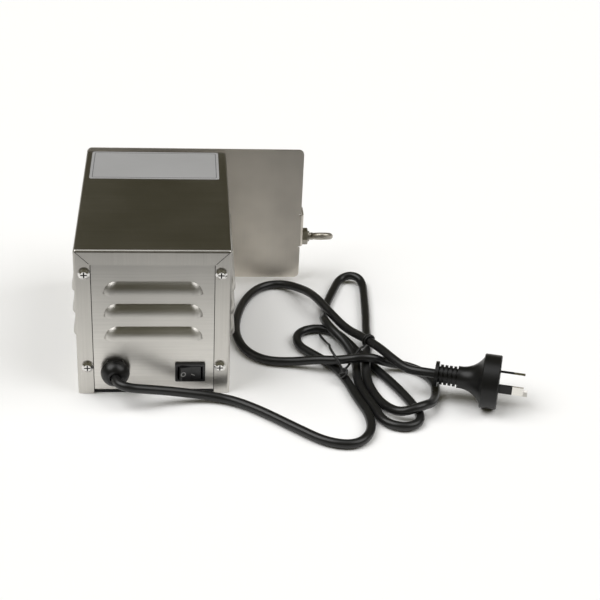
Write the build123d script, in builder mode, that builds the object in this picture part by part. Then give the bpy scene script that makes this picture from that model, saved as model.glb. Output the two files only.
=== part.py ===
"""Rotisserie drive motor: a folded sheet-metal case on a stainless mounting plate.

Origin: the middle of the case's footprint on the ground.  +X points to the long wing of the
mounting plate, +Y to the drive side with the spit socket, +Z up.  Millimetres throughout.
"""
import os
from math import acos, atan2, cos, degrees, hypot, pi, radians, sin, tan

from build123d import *

os.makedirs("parts", exist_ok=True)

# ---------------------------------------------------------------- driving dimensions
case_w, case_d, case_h = 105.0, 161.0, 113.0     # over the cover; depth is to the plate's face
sheet = 1.0                                      # cover and chassis sheet
bend = 2.0                                       # outside radius of every sheet bend
flange_w = 10.9                                  # in-turned flanges at both ends of the cover
slit = 0.4                                       # relief slit at the cover's top corners
fit = 0.3                                        # assembly gap between folded sheets
base_lift = 1.7                                  # rubber pad under the chassis
run_gap = 0.05                                   # radial running fit of a shaft in its bore
press_gap = 0.02                                 # radial gap drawn at a pressed joint
screw_gap = 0.2                                  # radial clearance round a screw

# louvres: quarter-domed hoods pressed out of the sheet, open downwards
louvre_h, louvre_proud, louvre_lip = 9.8, 3.8, 1.6   # height, stand-out, straight lip
louvre_bow_r = (louvre_proud ** 2 + (louvre_h - louvre_lip) ** 2) / (2 * louvre_proud)
rear_louvre_w, rear_louvre_z = 67.0, (44.1, 62.0, 79.4)
side_louvre_w, side_louvre_z = 120.0, (34.0, 51.6, 69.3)

# mounting plate
plate_t, plate_left, plate_right = 1.5, -case_w / 2, case_w / 2 + 59.9
plate_bottom, plate_top, plate_corner = 3.9, 114.8, 4.0
tab_out, tab_low, tab_high = plate_right + 2.1, 31.8, 59.0
tab_reach, tab_corner = case_d / 2 + 17.5, 5.0
tab_notch, tab_notch_in = 1.2, 1.5               # relief cut beside the tab's bend
clamp_y, clamp_z = case_d / 2 + 8.0, 36.0        # axis of the clamp screw

# screws
screw_r, head_r, head_h = 1.95, 3.95, 2.6        # M4 pan head
rear_screw_len, drive_screw_len, pillar_screw_len, back_screw_len = 9.0, 9.0, 14.0, 12.0
cover_screw_x, cover_screw_z = case_w / 2 - 7.0, (22.4, case_h - 17.4)
top_screw_z = case_h - 4.0                              # threads straight into the cover's flange
clinch_r, clinch_h = 2.7, 3.0

# clamp screw with an eye, and its flange nut
eye_wire_r, eye_ring_r, eye_x = 2.5, 6.85, tab_out + 15.65
eye_tilt = 31.0                                  # lean of the ring's plane from level
shank_r, shank_tip_x = 2.95, tab_out - 26.5
nut_h, nut_af, nut_collar_r, nut_collar_h = 4.6, 11.5, 4.2, 1.2

# switch
switch_x, switch_z = 25.0, 17.3
bezel_w, bezel_h, bezel_t = 21.0, 15.0, 2.0
switch_body_w, switch_body_h, switch_body_d = 18.8, 12.9, 13.5
rocker_r, rocker_w, rocker_tilt, rocker_face = 8.4, 10.4, 9.0, 4.25
rocker_pivot_in, rocker_back, rocker_pin_r = 2.0, 2.9, 1.2
rocker_gap = 0.3

# cable gland
gland_x, gland_z = -26.5, 18.8
gland_af, gland_hex_h, gland_thread_r = 17.0, 2.0, 7.4
gland_reach, gland_nut_r, gland_mouth_r = 11.3, 10.0, 5.4   # reach from the rear panel
cord_r = 3.25
cord_end_y, cord_tail_y = 3.5 - case_d / 2 - 7.0, 14.5 - case_d / 2   # join in the gland

# plug: a round moulded plug with three flat pins
plug_at = (233.9, -96.3, 19.2)                   # centre of the round head
plug_axis = (0.960, -0.279, 0.011)
plug_r, plug_head_t, plug_back = 19.1, 12.0, 33.0
plug_roll = -62.0                                # turn of the earth pin about the plug's axis
pin_w, pin_t, pin_len, pin_out, sleeve_len = 6.35, 1.6, 17.1, 7.92, 9.4
earth_len, earth_out = 20.0, 10.31

# gear train, from the output back to the rotor: module, pinion teeth, wheel teeth
hub_z = 40.0                                     # height of the spit socket's axis
stages = ((1.1, 12, 48), (0.9, 12, 48), (0.75, 12, 48), (0.6, 9, 54))
stage_angle = (110.0, 0.0, 60.0, 210.0)          # direction of each next axis, degrees
layer = (10.0, 7.0, 6.0, 5.0)                    # face widths, from the drive side
layer_gap = 1.0
gear_plate_t = 2.0
gear_plate = (-41.0, 41.0, 9.0, 104.0)           # left, right, bottom, top
arbor_r, arbor_spacer_r = 2.5, 3.8
hub_r, hub_tail_r, socket_af, hub_proud = 8.0, 5.0, 8.4, 4.0
bush_wall, bush_flange_r, bush_flange_t = 2.0, 12.0, 1.2
clip_t, clip_groove = 1.0, 0.6
pillars = ((-35.0, 16.0), (36.0, 16.0), (-35.0, 97.0), (36.5, 60.0))
pillar_r = 3.5
drive_wall_top = 105.0

# shaded-pole motor
stack_w, stack_t, stack_up, stack_down = 60.0, 20.0, 20.0, 55.0
stack_gap = 12.0                                 # gearbox back plate to the stack
rotor_r, air_gap, rotor_shaft_r = 12.7, 0.3, 2.0
limb, window_top = 12.0, 20.0
coil_w, coil_wind, bobbin_wall, bobbin_flange = 35.0, 7.0, 1.0, 1.5
motor_screw_x = 22.0
lead_r = 1.2

# ---------------------------------------------------------------- planes worked out once
rear_y, drive_y = -case_d / 2, case_d / 2
plate_in_y = drive_y - plate_t                   # cover's drive flange lies on the plate
wall_out_y = plate_in_y - sheet                  # chassis drive wall lies behind the flange
wall_in_y = wall_out_y - sheet
panel_y = rear_y + sheet                         # outer face of the rear panel
half_in = case_w / 2 - bend - fit                # chassis half width, clear of the bends
panel_top = case_h - bend - fit
base_top = base_lift + sheet                     # inner face of the chassis base


def wall(y):
    """Plane across the case at y: sketch x is +X, sketch y is +Z, extrude goes to -Y."""
    return Plane(origin=(0, y, 0), x_dir=(1, 0, 0), z_dir=(0, -1, 0))


def pan_screw(length):
    """Pan-head screw with a cross recess, head towards -Y, seat at y = 0."""
    with BuildPart() as screw:
        with BuildSketch(wall(0)):
            Circle(head_r)
        extrude(amount=head_h)
        chamfer(screw.edges().sort_by(Axis.Y)[0], head_h * 0.45, head_h * 0.6)
        with BuildSketch(wall(-head_h)):
            Rectangle(head_r * 1.1, 0.9)
            Rectangle(0.9, head_r * 1.1)
        extrude(amount=-head_h * 0.55, mode=Mode.SUBTRACT)
        with BuildSketch(wall(0)):
            Circle(screw_r)
        extrude(amount=-length)
    return screw.part


def gear_outline(teeth, module, centre, tooth_at):
    """Straight-flanked teeth; one tooth points along the angle tooth_at (radians)."""
    pitch_r = teeth * module / 2
    low, high = (0.54, 0.21) if teeth < 20 else (0.63, 0.22)
    step, outline = 2 * pi / teeth, []
    for k in range(teeth):
        mid = tooth_at + k * step
        for radius, half in ((pitch_r - 1.2 * module, -low), (pitch_r + 0.85 * module, -high),
                             (pitch_r + 0.85 * module, high), (pitch_r - 1.2 * module, low)):
            a = mid + half * step / 2
            outline.append((centre[0] + radius * cos(a), centre[1] + radius * sin(a)))
    return outline


def soft_radii(points):
    """Largest tangent arc at each corner: 0.45 of the shorter run."""
    radii = []
    for a, b, c in zip(points, points[1:], points[2:]):
        before, after = Vector(*b) - Vector(*a), Vector(*c) - Vector(*b)
        half_turn = radians(before.get_angle(after)) / 2
        radii.append(0.45 * min(before.length, after.length) / tan(half_turn))
    return radii


def write(part, name):
    part.label = name
    export_step(part, f"parts/{name}.step")


# ---------------------------------------------------------------- louvre shapes
def louvre(width, inset=0.0):
    """One hood standing out of a wall towards -Y, lip at z = 0; inset gives its hollow."""
    end, bow = width / 2 - louvre_h, louvre_bow_r - inset
    turn = acos((louvre_bow_r - louvre_proud) / bow)
    arc = [(louvre_bow_r - louvre_proud - bow * cos(a), louvre_lip + bow * sin(a))
           for a in (0, turn / 2, turn)]
    root = sheet if inset else sheet / 2
    with BuildPart() as hood:
        for x, side in ((0, 0), (-end, -1), (end, 1)):
            with BuildSketch(Plane.YZ.offset(x)):
                with BuildLine():
                    Polyline(arc[2], (root, arc[2][1]), (root, 0), (arc[0][0], 0), arc[0])
                    ThreePointArc(*arc)
                make_face()
            if side:
                revolve(axis=Axis((x, 0, 0), (0, side, 0)), revolution_arc=90)
            else:
                extrude(amount=end, both=True)
    return hood.part


rear_hood, rear_hollow = louvre(rear_louvre_w), louvre(rear_louvre_w, sheet)
side_hood, side_hollow = louvre(side_louvre_w), louvre(side_louvre_w, sheet)
side_louvres = [Location((side * case_w / 2, 0, z), (0, 0, side * 90))
                for side in (-1, 1) for z in side_louvre_z]
rear_louvres = [Location((0, panel_y, z)) for z in rear_louvre_z]
cover_screws = [(side * cover_screw_x, z) for side in (-1, 1) for z in cover_screw_z]

# ---------------------------------------------------------------- cover
with BuildPart() as cover:
    with Locations((0, (rear_y + plate_in_y) / 2, 0)):
        Box(case_w, plate_in_y - rear_y, case_h, align=(Align.CENTER, Align.CENTER, Align.MIN))
    fillet(cover.edges().filter_by(Axis.Z) + cover.edges().group_by(Axis.Z)[-1], bend)
    offset(amount=-sheet, openings=cover.faces().sort_by(Axis.Z)[0])
    with BuildSketch(wall(drive_y)):
        Rectangle(case_w - 2 * flange_w, case_h - flange_w, align=(Align.CENTER, Align.MIN))
    extrude(amount=case_d + 1, mode=Mode.SUBTRACT)
    for top in (drive_y, rear_y + sheet + 0.01):
        with BuildSketch(wall(top)):
            for side in (-1, 1):
                mid = (side * (case_w - flange_w) / 2, case_h - flange_w / 2)
                with Locations(Location((mid[0], mid[1], 0), (0, 0, side * 45))):
                    Rectangle(flange_w * 1.28, slit)
        extrude(amount=drive_y - plate_in_y + sheet + 0.01, mode=Mode.SUBTRACT)
    with Locations(*side_louvres):
        add(side_hood)
    with Locations(*side_louvres):
        add(side_hollow, mode=Mode.SUBTRACT)
    with BuildSketch(wall(drive_y)):
        with Locations(*cover_screws):
            Circle(screw_r + screw_gap)
    extrude(amount=case_d + 1, mode=Mode.SUBTRACT)
    with BuildSketch(wall(drive_y)):
        with Locations((0, top_screw_z)):
            Circle(screw_r + screw_gap)
    extrude(amount=drive_y, mode=Mode.SUBTRACT)
write(cover.part, "cover")

# ---------------------------------------------------------------- chassis: one folded sheet
chassis_len, chassis_mid = wall_out_y - panel_y, (wall_out_y + panel_y) / 2
with BuildPart() as chassis:
    with BuildSketch(Plane.YZ) as fold:
        with Locations((chassis_mid, base_lift)):
            Rectangle(chassis_len, panel_top - base_lift, align=(Align.CENTER, Align.MIN))
        fillet(fold.vertices().group_by(Axis.Y)[0], bend)
        with Locations((chassis_mid, base_top)):
            Rectangle(chassis_len - 2 * sheet, panel_top, align=(Align.CENTER, Align.MIN),
                      mode=Mode.SUBTRACT)
        fillet(fold.vertices().group_by(Axis.Y)[1], bend - sheet)
    extrude(amount=half_in, both=True)
    with BuildSketch(wall(wall_out_y + 1)):          # lower drive wall, clear of the top screw
        with Locations((0, drive_wall_top)):
            Rectangle(case_w, case_h, align=(Align.CENTER, Align.MIN))
    extrude(amount=sheet + 2, mode=Mode.SUBTRACT)
    for side in (-1, 1):                             # stiffening lips along the base
        with Locations((side * (half_in - sheet / 2), 0, base_lift)):
            Box(sheet, chassis_len - 12, 8, align=(Align.CENTER, Align.CENTER, Align.MIN))
    with Locations(*rear_louvres):
        add(rear_hood)
    with Locations(*rear_louvres):
        add(rear_hollow, mode=Mode.SUBTRACT)
    with BuildSketch(wall(panel_y + bend)):          # rear panel cut-outs
        with Locations(*cover_screws):
            Circle(screw_r + screw_gap)
        with Locations((switch_x, switch_z)):
            Rectangle(switch_body_w + 2 * screw_gap, switch_body_h + 2 * screw_gap)
        with Locations((gland_x, gland_z)):
            Circle(gland_thread_r + screw_gap)
    extrude(amount=bend + 1, mode=Mode.SUBTRACT)
    with BuildSketch(wall(wall_out_y + 1)):          # drive wall cut-outs
        with Locations(*cover_screws, *pillars):
            Circle(screw_r + screw_gap)
        with Locations((0, hub_z)):
            Circle(hub_r + bush_wall + screw_gap)
    extrude(amount=sheet + 2, mode=Mode.SUBTRACT)
write(chassis.part, "chassis")

with BuildPart() as base_pad:
    with Locations((0, chassis_mid, 0)):
        Box(2 * half_in, chassis_len - 1, base_lift, align=(Align.CENTER, Align.CENTER, Align.MIN))
write(base_pad.part, "base_pad")

# ---------------------------------------------------------------- mounting plate
with BuildPart() as mounting_plate:
    with BuildSketch(wall(drive_y)) as outline:
        with Locations(((plate_left + plate_right) / 2, plate_bottom)):
            Rectangle(plate_right - plate_left, plate_top - plate_bottom,
                      align=(Align.CENTER, Align.MIN))
        fillet(outline.vertices(), plate_corner)
    extrude(amount=plate_t)
    with BuildSketch(Plane.XY.offset(tab_low)) as elbow:
        with BuildLine():
            Polyline((plate_right - 8, plate_in_y), (tab_out, plate_in_y), (tab_out, tab_reach),
                     (tab_out - plate_t, tab_reach), (tab_out - plate_t, drive_y),
                     (plate_right - 8, drive_y), close=True)
        make_face()
        fillet(elbow.vertices().filter_by_position(Axis.X, tab_out - 0.1, tab_out + 0.1)
               .sort_by(Axis.Y)[0], plate_t + 1)
        fillet(elbow.vertices().filter_by_position(Axis.X, tab_out - plate_t - 0.1,
               tab_out - plate_t + 0.1).sort_by(Axis.Y)[0], 1)
    extrude(amount=tab_high - tab_low)
    far_corners = mounting_plate.edges().filter_by(Axis.X).group_by(Axis.Y)[-1]
    fillet(far_corners, tab_corner)
    with BuildSketch(wall(drive_y + 1)):             # relief notches beside the tab's bend
        for z in (tab_low - tab_notch / 2, tab_high + tab_notch / 2):
            with Locations((plate_right, z)):
                Rectangle(2 * tab_notch_in, tab_notch)
        with Locations(*cover_screws, *pillars, (0, top_screw_z)):
            Circle(screw_r + screw_gap)
        with Locations((0, hub_z)):
            Circle(hub_r + bush_wall + press_gap)
    extrude(amount=plate_t + 2, mode=Mode.SUBTRACT)
    with BuildSketch(Plane.YZ.offset(tab_out - plate_t - 1)):
        with Locations((clamp_y, clamp_z)):
            Circle(shank_r + fit)
    extrude(amount=plate_t + 2, mode=Mode.SUBTRACT)
write(mounting_plate.part, "mounting_plate")

# ---------------------------------------------------------------- screws that hold the case
rear_screw, drive_screw = pan_screw(rear_screw_len), pan_screw(drive_screw_len)
facing_drive = (0, 0, 180)
with BuildPart() as cover_screws_rear:
    with Locations(*[Location((x, rear_y, z)) for x, z in cover_screws]):
        add(rear_screw)
write(cover_screws_rear.part, "cover_screws_rear")

with BuildPart() as cover_screws_drive:
    with Locations(*[Location((x, drive_y, z), facing_drive)
                     for x, z in cover_screws + [(0, top_screw_z)]]):
        add(drive_screw)
write(cover_screws_drive.part, "cover_screws_drive")

with BuildPart() as clinch_nuts:
    for seat in (panel_y + sheet + clinch_h, wall_in_y):
        with BuildSketch(wall(seat)):
            with Locations(*cover_screws):
                Circle(clinch_r)
                Circle(screw_r + run_gap, mode=Mode.SUBTRACT)
        extrude(amount=clinch_h)
write(clinch_nuts.part, "clinch_nuts")

# ---------------------------------------------------------------- clamp screw
eye_plane = Plane(origin=(eye_x, clamp_y, clamp_z), x_dir=(1, 0, 0),
                  z_dir=(0, sin(radians(eye_tilt)), cos(radians(eye_tilt))))
with BuildPart() as eye_screw:
    with BuildSketch(Plane.YZ.offset(shank_tip_x)):
        with Locations((clamp_y, clamp_z)):
            Circle(shank_r)
    extrude(amount=eye_x - eye_ring_r - shank_tip_x)
    chamfer(eye_screw.edges().sort_by(Axis.X)[0], 0.8)
    with Locations(eye_plane.location):
        Torus(eye_ring_r, eye_wire_r)
write(eye_screw.part, "eye_screw")

with BuildPart() as clamp_nut:
    with BuildSketch(Plane.YZ.offset(tab_out)):
        with Locations((clamp_y, clamp_z)):
            RegularPolygon(nut_af / 2, 6, major_radius=False)
    extrude(amount=nut_h)
    chamfer(clamp_nut.faces().sort_by(Axis.X)[-1].edges(), 0.5)
    with BuildSketch(Plane.YZ.offset(tab_out + nut_h)):
        with Locations((clamp_y, clamp_z)):
            Circle(nut_collar_r)
    extrude(amount=nut_collar_h)
    with BuildSketch(Plane.YZ.offset(tab_out)):
        with Locations((clamp_y, clamp_z)):
            Circle(shank_r + run_gap)
    extrude(amount=nut_h + nut_collar_h, mode=Mode.SUBTRACT)
write(clamp_nut.part, "clamp_nut")

# ---------------------------------------------------------------- rocker switch
pivot_y = panel_y + rocker_pivot_in
rocker_hole_w, rocker_hole_h = 2 * (rocker_r + rocker_gap), rocker_w + 2 * rocker_gap
body_back_y = panel_y + switch_body_d
with BuildPart() as switch_housing:
    with BuildSketch(wall(panel_y)) as rim:
        with Locations((switch_x, switch_z)):
            Rectangle(bezel_w, bezel_h)
        fillet(rim.vertices(), 1.2)
    extrude(amount=bezel_t)
    fillet(switch_housing.faces().sort_by(Axis.Y)[0].edges(), 0.7)
    with BuildSketch(wall(body_back_y)):
        with Locations((switch_x, switch_z)):
            Rectangle(switch_body_w, switch_body_h)
    extrude(amount=switch_body_d)
    with BuildSketch(wall(body_back_y - 3.5)):
        with Locations((switch_x, switch_z)):
            Rectangle(rocker_hole_w, rocker_hole_h)
    extrude(amount=case_d, mode=Mode.SUBTRACT)
    with BuildSketch(Plane.XY.offset(switch_z - switch_body_h / 2)):
        with Locations((switch_x, pivot_y)):
            Circle(rocker_pin_r + run_gap)
    extrude(amount=switch_body_h, mode=Mode.SUBTRACT)
write(switch_housing.part, "switch_housing")

tilt = radians(rocker_tilt)
rocker_plane = Plane(origin=(switch_x, pivot_y, switch_z - rocker_w / 2),
                     x_dir=(cos(tilt), sin(tilt), 0), z_dir=(0, 0, 1))
rocker_rise = rocker_face + rocker_r * tan(tilt)
with BuildPart() as rocker:
    with BuildSketch(rocker_plane):
        with BuildLine():
            Polyline((-rocker_r, rocker_back), (-rocker_r, -rocker_rise), (0, -rocker_face),
                     (rocker_r, -rocker_rise), (rocker_r, rocker_back), close=True)
        make_face()
        Circle(rocker_r, mode=Mode.INTERSECT)
    extrude(amount=rocker_w)
    pin_reach = switch_body_h / 2 - 0.1
    with BuildSketch(Plane.XY.offset(switch_z - pin_reach)):
        with Locations((switch_x, pivot_y)):
            Circle(rocker_pin_r)
    extrude(amount=2 * pin_reach)
write(rocker.part, "rocker")

tab_x = (switch_x - 4.5, switch_x + 4.5)
with BuildPart() as switch_terminals:
    for x in tab_x:
        with Locations((x, body_back_y, switch_z)):
            Box(0.8, 8, 4.8, align=(Align.CENTER, Align.MIN, Align.CENTER))
write(switch_terminals.part, "switch_terminals")

# ---------------------------------------------------------------- cable gland
gland_front_y = panel_y - gland_hex_h
gland_mouth_y = panel_y - gland_reach
thread_front_y = gland_front_y - 4.0
with BuildPart() as gland_body:
    with BuildSketch(wall(panel_y)):
        with Locations((gland_x, gland_z)):
            RegularPolygon(gland_af / 2, 6, major_radius=False)
    extrude(amount=gland_hex_h)
    with BuildSketch(wall(panel_y + 9)):
        with Locations((gland_x, gland_z)):
            Circle(gland_thread_r)
    extrude(amount=panel_y + 9 - thread_front_y)
    with BuildSketch(wall(panel_y + 9)):
        with Locations((gland_x, gland_z)):
            Circle(cord_r + screw_gap)
    extrude(amount=panel_y + 9 - thread_front_y, mode=Mode.SUBTRACT)
write(gland_body.part, "gland_body")

cavity_r, cavity_end_y = gland_thread_r + screw_gap, thread_front_y - 0.5
with BuildPart() as gland_nut:                   # tapers to the cord and grips it
    with BuildSketch(Plane.XY.offset(gland_z)):
        with BuildLine():
            Polyline(*[(gland_x + r, y) for r, y in (
                (gland_mouth_r, gland_mouth_y), (cord_r + fit, gland_mouth_y),
                (cord_r + fit, cavity_end_y), (cavity_r, cavity_end_y),
                (cavity_r, gland_front_y), (gland_nut_r - 0.8, gland_front_y),
                (gland_nut_r, gland_front_y - 2.0))])
            ThreePointArc(*[(gland_x + r, y) for r, y in (
                (gland_nut_r, gland_front_y - 2.0),
                (gland_nut_r - 1.45, gland_front_y - 2 - 0.58 * (gland_reach - 4)),
                (gland_mouth_r, gland_mouth_y))])
        make_face()
    revolve(axis=Axis((gland_x, 0, gland_z), (0, 1, 0)))
write(gland_nut.part, "gland_nut")

with BuildPart() as gland_lock_nut:
    with BuildSketch(wall(panel_y + sheet + 4)):
        with Locations((gland_x, gland_z)):
            RegularPolygon(gland_af / 2, 6, major_radius=False)
            Circle(gland_thread_r + screw_gap, mode=Mode.SUBTRACT)
    extrude(amount=4)
write(gland_lock_nut.part, "gland_lock_nut")

# ---------------------------------------------------------------- mains cord
F, H = cord_r + 0.05, 10.3                       # lying on the ground; lying over one strand
plug_dir = Vector(*plug_axis).normalized()
relief_end = Vector(*plug_at) - plug_dir * (plug_head_t / 2 + plug_back)
last_bend = relief_end - plug_dir * 9.6
route = [
    (gland_x, cord_end_y, gland_z), (gland_x, -95.1, gland_z), (-17.4, -101.8, 18.3),
    (-5.5, -99.3, 15.6), (8, -94.8, 11.4), (24, -92.2, 7.6), (41, -91.3, 4.3), (57, -95.8, F),
    (75, -107.9, F), (99, -128, F),
    (119, -143, F), (139, -147, F), (151, -134, F), (150.5, -114, F), (144, -94, F),
    (136, -75, F), (127, -56, F), (113.5, -41, F), (103, -26, F), (105, -7, F), (120, 2, F),
    (135.5, -4, F), (145.8, -20, F), (155.5, -39.5, F), (171.5, -74.5, F), (180.5, -97, F),
    (187.8, -121.9, F), (174.5, -133.8, F), (157.8, -127.2, F), (156.5, -105, F),
    (149, -85, F), (146.5, -64, F), (146, -42, F), (140, -21, 7.8), (132, -4, H + 1.2),
    (126.5, 11, H + .6), (126, 26, 4.2), (128, 41, F), (132, 58, F), (148, 90, F),
    (169.5, 84, F), (167.5, 60, F), (163, 32, F), (161.3, 2, F), (161.5, -26, F + .6),
    (158.5, -41, H + .8), (156.6, -53, 9.4), (154.8, -66, 4.4), (155.4, -80, F),
    (160, -94, F + 1), (171, -107, 7.5), (187, -105, 11.5), (198, -97, 6.2),
    (203, -86.5, F), (204.5, -72, F),
    (196, -60, F), (183, -53, 4.3), (170, -53.5, 8), (158, -56, 15.9), (146, -57, 16.8),
    (134, -54.5, 14), (120, -50, H + .5), (103, -46, 5), (84, -44, F), (69, -31, F),
    (61, -8, F), (62, 18, F), (70, 45, F), (84, 63, F), (102, 67, F), (117, 54, 7),
    (127, 35, 12.3), (137, 12, 10.8), (149, -11, 10.6), (161, -29, 13.8), (169, -46, 15.6),
    (173, -62, 16.6), (179, -76.8, 16.7), tuple(last_bend), tuple(relief_end)]
cord_radii = soft_radii(route)
print("cord arc radii", [round(r, 1) for r in cord_radii])
with BuildPart() as cord:
    with BuildLine() as cord_path:
        FilletPolyline(*route, radius=cord_radii)
    with BuildSketch(wall(cord_end_y)):
        with Locations((gland_x, gland_z)):
            Circle(cord_r)
    sweep()
print("cord", round(cord_path.wire().length, 1), "mm; volume / (section x length)",
      round(cord.part.volume / (pi * cord_r ** 2 * cord_path.wire().length), 4))
write(cord.part, "cord")

with BuildPart() as cord_tail:
    with BuildSketch(wall(cord_tail_y)):
        with Locations((gland_x, gland_z)):
            Circle(cord_r)
    extrude(amount=cord_tail_y - cord_end_y)
write(cord_tail.part, "cord_tail")

tie_r = 0.9                                      # wire tie, opened, lying over the bundle
tie_route = [(122.9, -5.3, 1.0), (125.6, -22.5, 5.1), (126.7, -38.0, 12.8), (125.2, -52.1, 18.4),
             (134.1, -66.6, 8.4), (128.1, -68.2, 6.7), (121.1, -70.9, 1.0)]
with BuildPart() as cord_tie:
    with BuildLine():
        FilletPolyline(*tie_route, radius=soft_radii(tie_route))
    with BuildSketch(Plane(origin=tie_route[0], z_dir=Vector(*tie_route[1]) - Vector(*tie_route[0]))):
        Circle(tie_r)
    sweep()
write(cord_tie.part, "cord_tie")

# ---------------------------------------------------------------- plug
head_half = plug_head_t / 2
plug_side = Vector(-plug_dir.Y, plug_dir.X, 0).normalized()
plug_face = Plane(origin=Vector(*plug_at) + plug_dir * head_half, x_dir=plug_side,
                  z_dir=plug_dir)
plug_cut = Plane(origin=Vector(*plug_at), x_dir=plug_dir, z_dir=plug_side)
back_end, rib_pitch = -head_half - plug_back, 3.1
with BuildPart() as plug_body:
    with BuildSketch(plug_cut) as half_section:
        with BuildLine():
            collar = [(back_end, 0), (back_end, 9.0), (back_end + 2.3, 9.0),
                      (back_end + 2.3, 5.7)]
            for k in range(4):
                s = back_end + 3.5 + k * rib_pitch
                collar += [(s, 5.7), (s, 7.1), (s + 1.9, 7.1), (s + 1.9, 5.7)]
            neck = (collar[-1][0] + 1.2, 5.7)
            Polyline(*collar, neck, (neck[0], 7.8))
            ThreePointArc((neck[0], 7.8), (neck[0] + 9.5, 9.6), (-head_half, 17.0))
            Polyline((-head_half, 17.0), (-head_half, plug_r - 0.6),
                     (-head_half + 0.6, plug_r), (head_half - 0.6, plug_r),
                     (head_half, plug_r - 0.6), (head_half, 0), (back_end, 0))
        make_face()
    revolve(axis=Axis(Vector(*plug_at), plug_dir))
write(plug_body.part, "plug_body")


def pin_places(out_live, out_earth):
    """The two live pins lie across their radius, the earth pin along it."""
    places = []
    for angle, out, turn in ((plug_roll + 120, out_live, 90), (plug_roll - 120, out_live, 90),
                             (plug_roll, out_earth, 0)):
        a = radians(angle)
        places.append(Location((out * cos(a), out * sin(a), 0), (0, 0, angle + turn)))
    return places


live_a, live_b, earth_pin = pin_places(pin_out, earth_out)
with BuildPart() as plug_pins:
    with BuildSketch(plug_face):
        with Locations(live_a, live_b):
            Rectangle(pin_w - 1.1, pin_t - 0.6)
    extrude(amount=sleeve_len)
    with BuildSketch(plug_face.offset(sleeve_len)):
        with Locations(live_a, live_b):
            Rectangle(pin_w, pin_t)
    extrude(amount=pin_len - sleeve_len)
    with BuildSketch(plug_face):
        with Locations(earth_pin):
            Rectangle(pin_w, pin_t)
    extrude(amount=earth_len)
write(plug_pins.part, "plug_pins")

with BuildPart() as pin_sleeves:
    with BuildSketch(plug_face):
        with Locations(live_a, live_b):
            Rectangle(pin_w, pin_t)
            Rectangle(pin_w - 1.1, pin_t - 0.6, mode=Mode.SUBTRACT)
    extrude(amount=sleeve_len)
write(pin_sleeves.part, "pin_sleeves")

# ---------------------------------------------------------------- gear train places
axis = [(0.0, hub_z)]
for (module, pinion, wheel), angle in zip(stages, stage_angle):
    reach, a = module * (pinion + wheel) / 2, radians(angle)
    axis.append((axis[-1][0] + reach * cos(a), axis[-1][1] + reach * sin(a)))
rotor_x, rotor_z = axis[4]
front_plate_in = wall_in_y - gear_plate_t
tops = [front_plate_in - layer_gap]
for width in layer[:-1]:
    tops.append(tops[-1] - width - layer_gap)
back_plate_y = tops[-1] - layer[-1] - layer_gap       # face of the back plate to the gears
back_plate_out = back_plate_y - gear_plate_t
print("gear axes", [(round(x, 2), round(z, 2)) for x, z in axis], "ratio",
      4 * 4 * 4 * 6, "layers from y", tops)


def wheel_outline(i):
    """Wheel of stage i: a tooth gap faces the pinion."""
    module, _, teeth = stages[i]
    return gear_outline(teeth, module, axis[i], radians(stage_angle[i]) + pi / teeth)


def pinion_outline(i):
    """Pinion of stage i: a tooth points into the wheel's gap."""
    module, teeth, _ = stages[i]
    return gear_outline(teeth, module, axis[i + 1], radians(stage_angle[i]) + pi)


# ---------------------------------------------------------------- gearbox frame
left, right, low, high = gear_plate
arbors_at = axis[1:4]
for name, face, hub_hole in (("gearbox_front_plate", wall_in_y, hub_r + bush_wall),
                             ("gearbox_back_plate", back_plate_y, hub_tail_r + bush_wall)):
    with BuildPart() as plate:
        with BuildSketch(wall(face)) as outline:
            with Locations(((left + right) / 2, (low + high) / 2)):
                Rectangle(right - left, high - low)
            fillet(outline.vertices(), 5)
            with Locations(*pillars):
                Circle(screw_r + screw_gap, mode=Mode.SUBTRACT)
            with Locations(*arbors_at):
                Circle(arbor_r + press_gap, mode=Mode.SUBTRACT)
            with Locations((0, hub_z)):
                Circle(hub_hole + press_gap, mode=Mode.SUBTRACT)
            if face == back_plate_y:
                with Locations((rotor_x, rotor_z)):
                    Circle(2 * rotor_shaft_r + press_gap, mode=Mode.SUBTRACT)
                with Locations((rotor_x - motor_screw_x, rotor_z),
                               (rotor_x + motor_screw_x, rotor_z)):
                    Circle(screw_r + run_gap, mode=Mode.SUBTRACT)
        extrude(amount=gear_plate_t)
    write(plate.part, name)

with BuildPart() as gearbox_pillars:
    with BuildSketch(wall(front_plate_in)):
        with Locations(*pillars):
            Circle(pillar_r)
            Circle(screw_r + run_gap, mode=Mode.SUBTRACT)
    extrude(amount=front_plate_in - back_plate_y)
write(gearbox_pillars.part, "gearbox_pillars")

with BuildPart() as spacer_washers:
    with BuildSketch(wall(plate_in_y)):
        with Locations(*pillars):
            Circle(pillar_r + 0.7)
            Circle(screw_r + screw_gap, mode=Mode.SUBTRACT)
    extrude(amount=sheet)
write(spacer_washers.part, "spacer_washers")

front_screw, back_screw = pan_screw(pillar_screw_len), pan_screw(back_screw_len)
with BuildPart() as gearbox_screws_front:
    with Locations(*[Location((x, drive_y, z), facing_drive) for x, z in pillars]):
        add(front_screw)
write(gearbox_screws_front.part, "gearbox_screws_front")

with BuildPart() as gearbox_screws_back:
    with Locations(*[Location((x, back_plate_out, z)) for x, z in pillars]):
        add(back_screw)
write(gearbox_screws_back.part, "gearbox_screws_back")

with BuildPart() as gear_arbors:
    with BuildSketch(wall(wall_in_y)):
        with Locations(*arbors_at):
            Circle(arbor_r)
    extrude(amount=wall_in_y - back_plate_out)
write(gear_arbors.part, "gear_arbors")

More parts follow.
